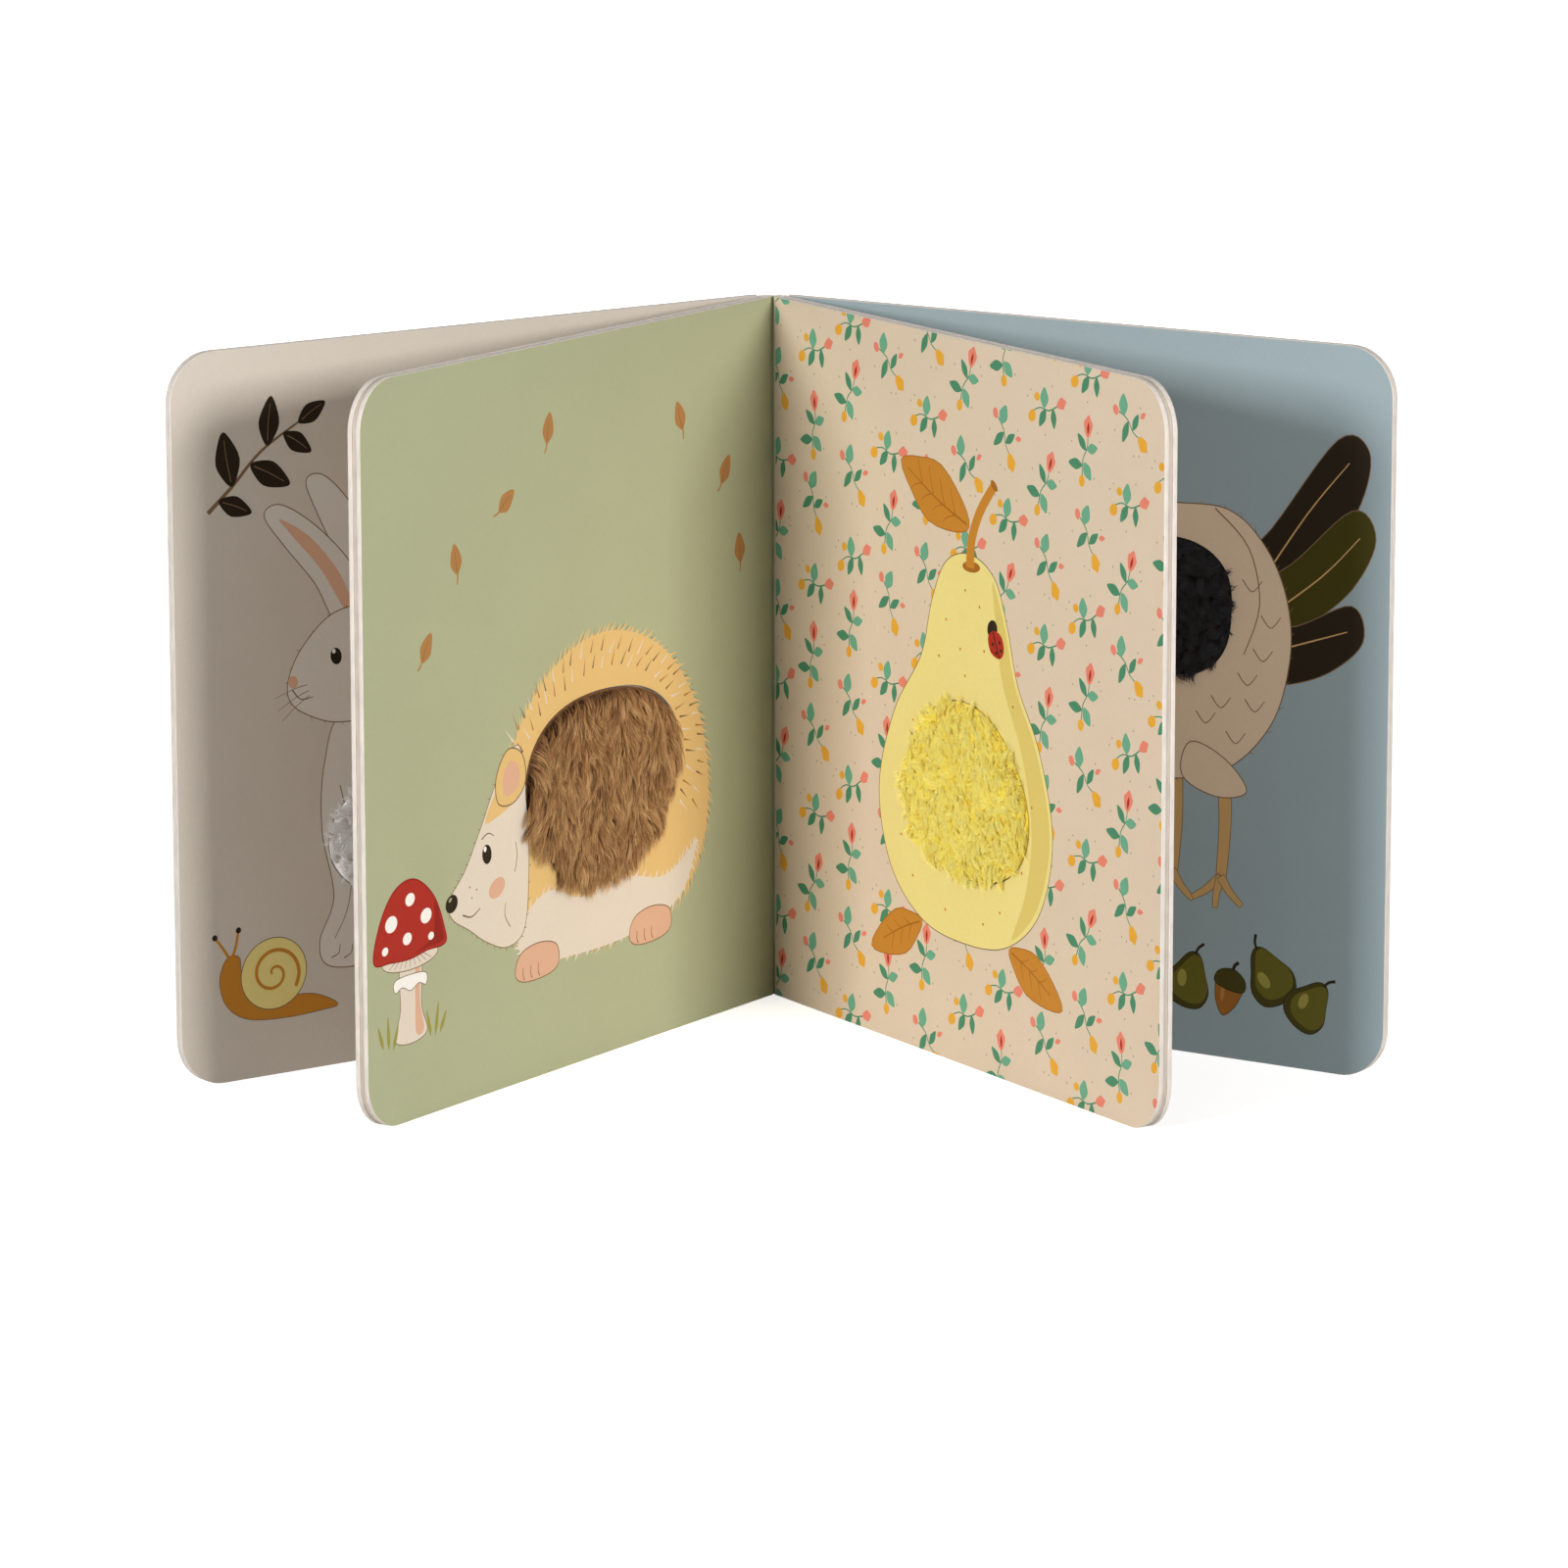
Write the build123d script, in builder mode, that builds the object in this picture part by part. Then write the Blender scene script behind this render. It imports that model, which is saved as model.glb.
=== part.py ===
from build123d import *
from collections import namedtuple
from math import cos, pi, radians, sin
import os

# Driving dimensions in millimetres
page_width = 164.0            # from the fold to the fore edge
page_height = 170.0
corner_radius = 11.5          # at the two free corners of each board
sheet_thickness = 1.13        # one printed sheet of board, which is also a window's depth
filler_thickness = 1.14       # the board glued between a leaf's two printed sheets
filler_inset = 0.2            # how far the filler stays inside the sheets' edges
cover_sheet_thickness = 1.1   # the sheet on the outside of both covers
edge_break = 0.2              # worn corner along a cover's edges
spine_thickness = 1.1
fold_radius = 0.8             # hollow of the centre fold
fold_offset = 0.9             # the fold's valley lies this far in front of the origin
hinge_clearance = 0.3         # a cover stays this far off its crease and the leaf's back
pile_height = 2.0             # pile fabric stands this far out of its window
pile_shoulder = 1.1           # height above the page where its sides start to lean in
pile_lean = 1.6               # how far its top is drawn in all round
pile_clearance = 0.25         # between the pile fabric and the wall of its window

# How far each board is turned from straight forward, in degrees
left_leaf_angle = 33.5
right_leaf_angle = 31.7
front_cover_angle = 53.9
back_cover_angle = 56.8

# Die-cut windows: centre from the fold and from the foot, and size
brown_window_out = 72.0
brown_window_up = 66.0
brown_window_width = 60.0
brown_window_height = 45.0
yellow_window_out = 84.0
yellow_window_up = 64.0
yellow_window_width = 52.0
yellow_window_height = 43.0
black_window_out = 103.0
black_window_up = 106.0
black_window_width = 44.0
black_window_height = 31.0
white_window_out = 102.0
white_window_up = 54.0
white_window_width = 40.0
white_window_height = 35.0

# How far each window's outline leaves an ellipse: two shares of its reach, each with a turn in degrees
Softness = namedtuple("Softness", "square square_turn egg egg_turn")
brown_softness = Softness(0.04, 40.0, 0.05, 250.0)
yellow_softness = Softness(0.03, 20.0, 0.05, 90.0)
black_softness = Softness(0.05, 150.0, 0.07, 200.0)
white_softness = Softness(0.03, 70.0, 0.06, 30.0)
outline_steps = 12            # points on a window's curve

LEFT = -1
RIGHT = 1
leaf_thickness = 2 * sheet_thickness + filler_thickness
cover_thickness = sheet_thickness + cover_sheet_thickness


def outward(angle, side):
    """Direction from the fold to a board's fore edge."""
    return Vector(side * sin(radians(angle)), -cos(radians(angle)), 0)


def backward(angle, side):
    """Direction from a board's reading face to its back."""
    return Vector(side * cos(radians(angle)), sin(radians(angle)), 0)


def reading_plane(root, angle, side):
    """Plane of a reading face: x runs to the fore edge, y runs up."""
    return Plane(origin=root, x_dir=outward(angle, side), z_dir=outward(angle, side).cross(Vector(0, 0, 1)))


def behind(plane, side, depth):
    """The same plane, moved into the board by a depth."""
    return plane.offset(-side * depth)


# The fold's valley, and the creases behind it where the covers turn
valley = Vector(0, -fold_offset, 0)
front_crease = valley + backward(left_leaf_angle, LEFT) * leaf_thickness
back_crease = valley + backward(right_leaf_angle, RIGHT) * leaf_thickness
left_page = reading_plane(valley, left_leaf_angle, LEFT)
right_page = reading_plane(valley, right_leaf_angle, RIGHT)
front_inside = behind(reading_plane(front_crease, front_cover_angle, LEFT), LEFT, hinge_clearance)
back_inside = behind(reading_plane(back_crease, back_cover_angle, RIGHT), RIGHT, hinge_clearance)


def board_outline(sketch, start, inset):
    """A board's outline with two rounded corners, between its inner edge and the fore edge."""
    with Locations((start, page_height / 2)):
        Rectangle(
            page_width - start - inset,
            page_height - 2 * inset,
            align=(Align.MIN, Align.CENTER),
        )
    fillet(sketch.vertices().group_by(Axis.X)[-1], radius=corner_radius - inset)


Window = namedtuple("Window", "out up width height softness")
brown_window = Window(
    brown_window_out, brown_window_up, brown_window_width, brown_window_height, brown_softness
)
yellow_window = Window(
    yellow_window_out, yellow_window_up, yellow_window_width, yellow_window_height, yellow_softness
)
black_window = Window(
    black_window_out, black_window_up, black_window_width, black_window_height, black_softness
)
white_window = Window(
    white_window_out, white_window_up, white_window_width, white_window_height, white_softness
)


def window_outline(window, shrink=0.0):
    """A soft closed curve: an ellipse pressed towards a square and towards an egg."""
    soft = window.softness
    points = []
    for step in range(outline_steps):
        turn = 2 * pi * step / outline_steps
        reach = 1 + soft.square * cos(2 * turn + radians(soft.square_turn))
        reach += soft.egg * cos(3 * turn + radians(soft.egg_turn))
        across = (window.width / 2 - shrink) * reach * cos(turn)
        along = (window.height / 2 - shrink) * reach * sin(turn)
        points.append((window.out + across, window.up + along))
    with BuildSketch() as outline:
        with BuildLine():
            Spline(*points, periodic=True)
        make_face()
    return outline.sketch


# Two leaves of three glued boards each, joined by the centre fold
leaves = (
    (left_page, LEFT, window_outline(brown_window)),
    (right_page, RIGHT, window_outline(yellow_window)),
)
with BuildPart() as pages:
    for plane, side, opening in leaves:
        layers = (
            (0.0, sheet_thickness, 0.0),
            (sheet_thickness, filler_thickness, filler_inset),
            (sheet_thickness + filler_thickness, sheet_thickness, 0.0),
        )
        for depth, thickness, inset in layers:
            with BuildSketch(behind(plane, side, depth)) as layer:
                board_outline(layer, 0, inset)
            extrude(amount=-side * thickness)
        with BuildSketch(plane):
            add(opening)
        extrude(amount=-side * sheet_thickness, mode=Mode.SUBTRACT)
    with BuildSketch(Plane.XY):
        with BuildLine():
            Polyline(valley, front_crease, back_crease, close=True)
        make_face()
    extrude(amount=page_height)
    fold_middle = valley + Vector(0, 0, page_height / 2)
    fillet(pages.edges().filter_by(Axis.Z).sort_by_distance(fold_middle)[0], radius=fold_radius)
pages.part.label = "pages"

# A strip over the back of the fold, rounded about both creases
with BuildPart() as spine:
    across = (back_crease - front_crease).normalized()
    rearward = Vector(-across.Y, across.X, 0)
    front_side = outward(left_leaf_angle, LEFT)
    back_side = outward(right_leaf_angle, RIGHT)
    with BuildSketch(Plane.XY):
        with BuildLine():
            Polyline(
                front_crease + front_side * spine_thickness,
                front_crease,
                back_crease,
                back_crease + back_side * spine_thickness,
            )
            ThreePointArc(
                back_crease + back_side * spine_thickness,
                back_crease + (back_side + rearward).normalized() * spine_thickness,
                back_crease + rearward * spine_thickness,
            )
            Line(
                back_crease + rearward * spine_thickness,
                front_crease + rearward * spine_thickness,
            )
            ThreePointArc(
                front_crease + rearward * spine_thickness,
                front_crease + (front_side + rearward).normalized() * spine_thickness,
                front_crease + front_side * spine_thickness,
            )
        make_face()
    extrude(amount=page_height)
spine.part.label = "spine"


def make_cover(inside, side, window):
    """A cover board with its window, standing just off its crease."""
    opening = window_outline(window)
    with BuildPart() as cover:
        with BuildSketch(inside) as board:
            board_outline(board, spine_thickness + hinge_clearance, 0)
        extrude(amount=-side * cover_thickness)
        broad_faces = cover.faces().filter_by(Axis(inside.origin, inside.z_dir))
        chamfer(broad_faces.edges(), length=edge_break)
        with BuildSketch(inside):
            add(opening)
        extrude(amount=-side * sheet_thickness, mode=Mode.SUBTRACT)
    return cover.part


front_cover = make_cover(front_inside, LEFT, white_window)
front_cover.label = "front_cover"
back_cover = make_cover(back_inside, RIGHT, black_window)
back_cover.label = "back_cover"


def make_fur(plane, side, window):
    """Pile fabric glued to a window's floor, with sides that lean in towards its top."""
    patch = window_outline(window, pile_clearance)
    patch_top = window_outline(window, pile_clearance + pile_lean)
    sections = ((sheet_thickness, patch), (-pile_shoulder, patch), (-pile_height, patch_top))
    with BuildPart() as fur:
        for depth, section in sections:
            with BuildSketch(behind(plane, side, depth)):
                add(section)
        loft(ruled=True)
    return fur.part


brown_fur = make_fur(left_page, LEFT, brown_window)
brown_fur.label = "brown_fur"
yellow_fur = make_fur(right_page, RIGHT, yellow_window)
yellow_fur.label = "yellow_fur"
white_fur = make_fur(front_inside, LEFT, white_window)
white_fur.label = "white_fur"
black_fur = make_fur(back_inside, RIGHT, black_window)
black_fur.label = "black_fur"

os.makedirs("parts", exist_ok=True)
for piece in (pages.part, spine.part, front_cover, back_cover, brown_fur, yellow_fur, white_fur, black_fur):
    export_step(piece, "parts/" + piece.label + ".step")
print("front crease", tuple(round(value, 4) for value in front_crease))
print("back crease", tuple(round(value, 4) for value in back_crease))
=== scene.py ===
from collections import namedtuple
from math import atan2, cos, hypot, pi, radians, sin, tan

import bmesh
import bpy
import numpy as np
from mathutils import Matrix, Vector
from mathutils.geometry import delaunay_2d_cdt


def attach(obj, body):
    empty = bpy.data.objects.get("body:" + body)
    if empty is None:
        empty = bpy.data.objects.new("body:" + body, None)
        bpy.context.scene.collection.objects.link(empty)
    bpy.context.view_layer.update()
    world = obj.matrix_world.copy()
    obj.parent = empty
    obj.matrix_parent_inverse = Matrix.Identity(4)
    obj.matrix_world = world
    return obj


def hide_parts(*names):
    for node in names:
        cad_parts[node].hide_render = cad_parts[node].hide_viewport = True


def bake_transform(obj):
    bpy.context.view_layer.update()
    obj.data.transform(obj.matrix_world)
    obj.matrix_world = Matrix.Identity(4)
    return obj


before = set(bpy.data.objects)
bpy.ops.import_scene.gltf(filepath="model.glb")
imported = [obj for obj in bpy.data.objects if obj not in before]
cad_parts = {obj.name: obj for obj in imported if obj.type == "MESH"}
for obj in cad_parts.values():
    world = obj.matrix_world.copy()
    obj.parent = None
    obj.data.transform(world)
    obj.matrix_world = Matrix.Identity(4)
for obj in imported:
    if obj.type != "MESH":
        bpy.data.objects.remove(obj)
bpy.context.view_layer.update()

# The book's own sizes, in millimetres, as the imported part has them
MM = 0.001
page_width = 164.0
page_height = 170.0
corner_radius = 11.5
sheet_thickness = 1.13
filler_thickness = 1.14
filler_inset = 0.2
cover_sheet_thickness = 1.1
spine_thickness = 1.1
fold_radius = 0.8
fold_offset = 0.9
hinge_clearance = 0.3
left_leaf_angle = 33.5
right_leaf_angle = 31.7
front_cover_angle = 53.9
back_cover_angle = 56.8
leaf_thickness = 2 * sheet_thickness + filler_thickness
rim = 0.13                    # worn corner round a printed face

# How far from the fold's valley its hollow begins on both leaves
fold_tangent = fold_radius / tan(radians((left_leaf_angle + right_leaf_angle) / 2))

LEFT = -1
RIGHT = 1
UP = Vector((0, 0, 1))

Window = namedtuple("Window", "out up width height square square_turn egg egg_turn")
brown_window = Window(72.0, 66.0, 60.0, 45.0, 0.04, 40.0, 0.05, 250.0)
yellow_window = Window(84.0, 64.0, 52.0, 43.0, 0.03, 20.0, 0.05, 90.0)
black_window = Window(103.0, 106.0, 44.0, 31.0, 0.05, 150.0, 0.07, 200.0)
white_window = Window(102.0, 54.0, 40.0, 35.0, 0.03, 70.0, 0.06, 30.0)


# Boards: each one runs outward from the fold, up, and backward from its reading face
Board = namedtuple("Board", "root out back side")


def make_board(root, angle, side):
    turn = radians(angle)
    out = Vector((side * sin(turn), -cos(turn), 0))
    back = Vector((side * cos(turn), sin(turn), 0))
    return Board(root, out, back, side)


def spot(board, out, up, depth):
    """A place on a board, in metres."""
    return (board.root + board.out * out + UP * up + board.back * depth) * MM


valley = Vector((0, -fold_offset, 0))
left_leaf = make_board(valley, left_leaf_angle, LEFT)
right_leaf = make_board(valley, right_leaf_angle, RIGHT)
front_crease = valley + left_leaf.back * leaf_thickness
back_crease = valley + right_leaf.back * leaf_thickness
front_cover = make_board(front_crease, front_cover_angle, LEFT)
back_cover = make_board(back_crease, back_cover_angle, RIGHT)
front_cover = front_cover._replace(root=front_crease + front_cover.back * hinge_clearance)
back_cover = back_cover._replace(root=back_crease + back_cover.back * hinge_clearance)


# Colours, as red, green and blue out of 255
COLOURS = {
    "green_paper": (169, 172, 139),
    "beige_paper": (213, 194, 171),
    "grey_paper": (203, 194, 181),
    "blue_paper": (149, 165, 170),
    "sand_paper": (184, 158, 126),
    "cover_paper": (222, 210, 202),
    "board": (214, 205, 196),
    "filler": (196, 184, 170),
    "amber": (219, 183, 121),
    "cream": (218, 205, 189),
    "blush": (213, 168, 140),
    "outline": (122, 98, 72),
    "dark": (42, 34, 24),
    "white": (240, 236, 229),
    "red": (166, 45, 35),
    "dark_red": (140, 34, 27),
    "leaf_brown": (168, 120, 70),
    "pear": (228, 211, 134),
    "pear_shade": (214, 192, 108),
    "orange_brown": (190, 127, 46),
    "deep_orange": (160, 100, 32),
    "pattern_green": (72, 132, 100),
    "pattern_teal": (104, 162, 132),
    "coral": (222, 128, 107),
    "mustard": (222, 162, 54),
    "speck": (160, 154, 124),
    "hen": (216, 193, 167),
    "hen_leg": (196, 158, 104),
    "rabbit": (214, 207, 197),
    "olive": (100, 94, 34),
    "olive_dark": (66, 60, 22),
    "olive_light": (150, 142, 70),
    "acorn": (150, 98, 40),
}


def linear(colour):
    """A 0 to 255 screen colour as the shader's linear one."""
    values = []
    for part in colour:
        share = part / 255
        values.append(share / 12.92 if share <= 0.04045 else ((share + 0.055) / 1.055) ** 2.4)
    return (*values, 1.0)


def scaled(colour, share):
    return (*(value * share for value in colour[:3]), 1.0)


def add_object(name, data):
    item = bpy.data.objects.new(name, data)
    bpy.context.scene.collection.objects.link(item)
    return item


# Materials
def set_inputs(tree, node, inputs):
    """Gives each input a value, or a link from another node's output."""
    for name, value in inputs.items():
        if isinstance(value, bpy.types.NodeSocket):
            tree.links.new(value, node.inputs[name])
        else:
            node.inputs[name].default_value = value


def add_node(tree, kind, inputs, **settings):
    node = tree.nodes.new("ShaderNode" + kind)
    for name, value in settings.items():
        setattr(node, name, value)
    set_inputs(tree, node, inputs)
    return node


def add_math(tree, operation, *values):
    return add_node(tree, "Math", dict(enumerate(values)), operation=operation).outputs[0]


def new_material(name):
    """A node material with its tree and shader, and a coordinate in metres."""
    material = bpy.data.materials.new(name)
    material.use_nodes = True
    tree = material.node_tree
    place = add_node(tree, "TexCoord", {}).outputs["Object"]
    return material, tree, tree.nodes["Principled BSDF"], place


def add_noise(tree, place, scale, detail, stretch=(1, 1, 1)):
    mapping = add_node(tree, "Mapping", {"Vector": place, "Scale": stretch})
    inputs = {"Vector": mapping.outputs["Vector"], "Scale": scale, "Detail": detail}
    return add_node(tree, "TexNoise", inputs).outputs["Fac"]


def add_ramp(tree, value, stops):
    """Colours along a value from 0 to 1, each at its own stop."""
    ramp = add_node(tree, "ValToRGB", {"Fac": value})
    elements = ramp.color_ramp.elements
    while len(elements) < len(stops):
        elements.new(0.5)
    for element, (stop, colour) in zip(elements, stops):
        element.position = stop
        element.color = colour
    return ramp.outputs["Color"]


def add_tint(tree, noise, colour, low, high):
    """A colour that the noise makes darker or lighter by these shares."""
    return add_ramp(tree, noise, ((0.3, scaled(colour, low)), (0.7, scaled(colour, high))))


def add_bump(tree, height, shader, distance, strength):
    bump = add_node(tree, "Bump", {"Height": height, "Distance": distance, "Strength": strength})
    set_inputs(tree, shader, {"Normal": bump.outputs["Normal"]})


def paper_material(name):
    """Printed, laminated paper: an even ink over a fine fibre."""
    material, tree, shader, place = new_material(name)
    fibre = add_noise(tree, place, scale=1400, detail=5)
    cloud = add_noise(tree, place, scale=38, detail=4)
    fibre_share = 0.55
    clouds = add_math(tree, "MULTIPLY", cloud, 1 - fibre_share)
    mixed = add_math(tree, "MULTIPLY_ADD", fibre, fibre_share, clouds)
    tint = add_tint(tree, mixed, linear(COLOURS[name]), low=0.965, high=1.035)
    set_inputs(tree, shader, {"Base Color": tint, "Roughness": 0.5, "Specular IOR Level": 0.08})
    add_bump(tree, fibre, shader, distance=0.00004, strength=0.35)
    return material


def board_material(name):
    """Raw pressed board at a cut edge: short fibres and a little dust."""
    material, tree, shader, place = new_material(name)
    fibre = add_noise(tree, place, scale=900, detail=6, stretch=(1, 1, 0.25))
    tint = add_tint(tree, fibre, linear(COLOURS[name]), low=0.88, high=1.05)
    set_inputs(tree, shader, {"Base Color": tint, "Roughness": 0.9, "Specular IOR Level": 0.12})
    add_bump(tree, fibre, shader, distance=0.00008, strength=0.5)
    return material


materials = {}


def material_for(name):
    if name not in materials:
        make = board_material if name in ("board", "filler") else paper_material
        materials[name] = make(name)
    return materials[name]


# Drawing: closed outlines in millimetres on a page, x to the reader's right and z up
def smooth(points, closed=True, steps=6):
    """A Catmull-Rom curve through the points."""
    count = len(points)
    spans = count if closed else count - 1
    curve = []
    for span in range(spans):
        if closed:
            four = [points[(span + shift) % count] for shift in (-1, 0, 1, 2)]
        else:
            four = [points[min(max(span + shift, 0), count - 1)] for shift in (-1, 0, 1, 2)]
        for step in range(steps):
            t = step / steps
            weights = (
                (-t + 2 * t**2 - t**3) / 2,
                (2 - 5 * t**2 + 3 * t**3) / 2,
                (t + 4 * t**2 - 3 * t**3) / 2,
                (-(t**2) + t**3) / 2,
            )
            curve.append(tuple(sum(w * p[axis] for w, p in zip(weights, four)) for axis in (0, 1)))
    if not closed:
        curve.append(tuple(points[-1]))
    return curve


def moved(points, x, z, turn=0.0, scale=1.0):
    cosine = cos(radians(turn)) * scale
    sine = sin(radians(turn)) * scale
    return [(x + px * cosine - pz * sine, z + px * sine + pz * cosine) for px, pz in points]


def ellipse(x, z, width, height, turn=0.0, steps=24):
    points = []
    for step in range(steps):
        angle = 2 * pi * step / steps
        points.append((width / 2 * cos(angle), height / 2 * sin(angle)))
    return moved(points, x, z, turn)


def leaf(x, z, length, width, turn, belly=0.45):
    """A leaf from its stalk end at x, z, with a pointed tip."""
    half = width / 2
    body = [(0, 0)]
    sides = ((0.15, 0.55), (belly, 1.0), (0.78, 0.62))
    body += [(length * along, -half * across) for along, across in sides]
    body.append((length, 0))
    body += [(length * along, half * across) for along, across in reversed(sides)]
    return moved(smooth(body, steps=3), x, z, turn)


def stroke(points, width, end_width, steps=5):
    """A brush line through the points, from one width to another."""
    line = smooth(points, closed=False, steps=steps)
    count = len(line)
    left = []
    right = []
    for index, (x, z) in enumerate(line):
        before = line[max(index - 1, 0)]
        after = line[min(index + 1, count - 1)]
        across = Vector((before[1] - after[1], after[0] - before[0])).normalized()
        half = (width + (end_width - width) * index / (count - 1)) / 2
        left.append((x + across.x * half, z + across.y * half))
        right.append((x - across.x * half, z - across.y * half))
    return right + left[::-1]


def area(points):
    """Twice the signed area, positive when the outline runs anticlockwise."""
    return sum(a[0] * b[1] - b[0] * a[1] for a, b in zip(points, points[1:] + points[:1]))


def grown(points, amount):
    """The outline moved outward."""
    sign = 1 if area(points) > 0 else -1
    count = len(points)
    result = []
    for index, (x, z) in enumerate(points):
        before = points[index - 1]
        after = points[(index + 1) % count]
        across = Vector((after[1] - before[1], before[0] - after[0]))
        if across.length > 0:
            across.normalize()
        result.append((x + sign * amount * across.x, z + sign * amount * across.y))
    return result


class Picture:
    """Flat shapes in the order they are printed."""

    def __init__(self):
        self.shapes = []

    def fill(self, ink, points):
        self.shapes.append((ink, points))

    def blob(self, ink, points):
        self.fill(ink, smooth(points))

    def dot(self, ink, x, z, width, height, turn=0.0, steps=24):
        self.fill(ink, ellipse(x, z, width, height, turn, steps))

    def specks(self, ink, size, *places):
        for x, z in places:
            self.dot(ink, x, z, size, size, steps=8)

    def inked(self, ink, points, line="outline", width=0.32):
        """A shape with a thin drawn line around it."""
        self.fill(line, grown(points, width))
        self.fill(ink, points)

    def lines(self, width, end_width, *routes, ink="outline"):
        """Brush lines, each from one width to another."""
        for route in routes:
            self.fill(ink, stroke(route, width, end_width))

    def hairs(self, ink, points, length, lean, every, rng, width=0.3):
        """Short hairs that leave an outline at a lean."""
        sign = 1 if area(points) > 0 else -1
        count = len(points)
        for index in range(0, count, every):
            x, z = points[index]
            after = points[(index + 1) % count]
            along = Vector((after[0] - x, after[1] - z))
            if along.length == 0:
                continue
            along.normalize()
            outward = Vector((along.y, -along.x)) * sign
            reach = length * (0.6 + 0.8 * rng.random())
            tip = Vector((x, z)) + (outward + along * lean * (0.6 + 0.8 * rng.random())) * reach
            base = along * width
            inward = outward * 0.5
            near = (x - base.x - inward.x, z - base.y - inward.y)
            far = (x + base.x - inward.x, z + base.y - inward.y)
            self.fill(ink, [near, far, (tip.x, tip.y)])


# The green page
def draw_coat(page, rng):
    """The hedgehog's body, with two rows of loose quills over its back."""
    coat = smooth([
        (57, 34), (50, 44), (49, 60), (55, 76), (66, 90), (82, 98.5), (100, 99.5), (118, 92), (131, 77),
        (136, 58), (133, 42), (122, 31), (100, 27), (76, 27),
    ], steps=9)
    page.hairs("outline", grown(coat, 0.3), 1.3, 1.2, 1, rng, 0.25)
    page.hairs("amber", coat, 1.9, 1.3, 1, rng, 0.75)
    page.fill("amber", coat)
    belly = smooth([
        (58, 36), (70, 43), (84, 39), (100, 41), (116, 38), (126, 41), (131, 44), (124, 32), (104, 26.5),
        (78, 26), (62, 28),
    ])
    page.hairs("cream", belly, 1.5, 0.8, 1, rng, 0.6)
    page.fill("cream", belly)
    for row, (across, along, count) in enumerate(((34.5, 26.5, 30), (39.5, 30.0, 34))):
        for step in range(count):
            turn = -24 + 190 * (step + 0.5 * row) / count
            x = 92 + across * cos(radians(turn)) + rng.uniform(-0.7, 0.7)
            z = 65.5 + along * sin(radians(turn)) + rng.uniform(-0.7, 0.7)
            ink = ("cream", "leaf_brown", "outline")[(step * 2 + row) % 3]
            quill = [(0, -0.28), (0, 0.28), (3.6 + rng.uniform(0, 1.2), 0)]
            page.fill(ink, moved(quill, x, z, turn - 22 + rng.uniform(-9, 9)))
    for x in (66, 112):
        foot = smooth([
            (x - 9, 25.5), (x - 7, 30), (x, 31.5), (x + 7, 30), (x + 8, 25.6), (x + 4, 23.6), (x - 5, 23.4),
        ])
        page.inked("blush", foot, width=0.25)
        for toe in (-5.5, -2.5, 0.5):
            page.lines(0.3, 0.2, [(x + toe, 23.8), (x + toe - 0.6, 25.2), (x + toe - 0.4, 26.8)])


def draw_face(page, rng):
    face = smooth([
        (59, 79), (51, 73), (44, 62.5), (38, 54), (33, 49.4), (31.2, 46.4), (33.2, 43), (39, 39.8),
        (46, 35.6), (54, 33), (60.5, 36), (62.4, 48), (62, 64),
    ], steps=7)
    page.hairs("outline", grown(face, 0.2), 0.9, 1.0, 2, rng, 0.2)
    page.inked("cream", face, width=0.22)
    page.blob("amber", [(58.5, 77.5), (51.5, 71.8), (45.6, 63.6), (50.5, 64), (56, 66), (60.5, 70)])
    page.inked("amber", smooth([(51, 67), (50.2, 73), (54.6, 78.6), (60, 77), (61.4, 70.6), (57, 66.4)]))
    page.blob("blush", [(53.2, 68.6), (52.8, 73), (55.6, 76), (58.8, 74.4), (59, 70.4), (56.4, 68.4)])
    page.dot("blush", 50, 47.5, 6.6, 4.4, 20)
    page.dot("dark", 32.4, 47.0, 4.8, 4.1, 20)
    page.dot("speck", 31.9, 48.0, 1.4, 0.8, 30)
    page.dot("dark", 46.2, 56, 3.6, 4.6, 10)
    page.dot("white", 45.5, 57.3, 1.1, 1.3)
    page.lines(0.45, 0.25, [(36.6, 43.6), (40, 42.6), (43.4, 44.0)])
    page.lines(0.4, 0.2, [(44.2, 59.8), (46.7, 60.8), (49, 59.8)])
    page.specks("outline", 0.5, (39.4, 49.6), (42.0, 48.6), (40.2, 47.0))
    page.lines(0.28, 0.18, [(55, 37.5), (53, 40.5), (53.4, 43.5)], [(57, 50), (58, 53.5), (57.4, 57)])


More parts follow.
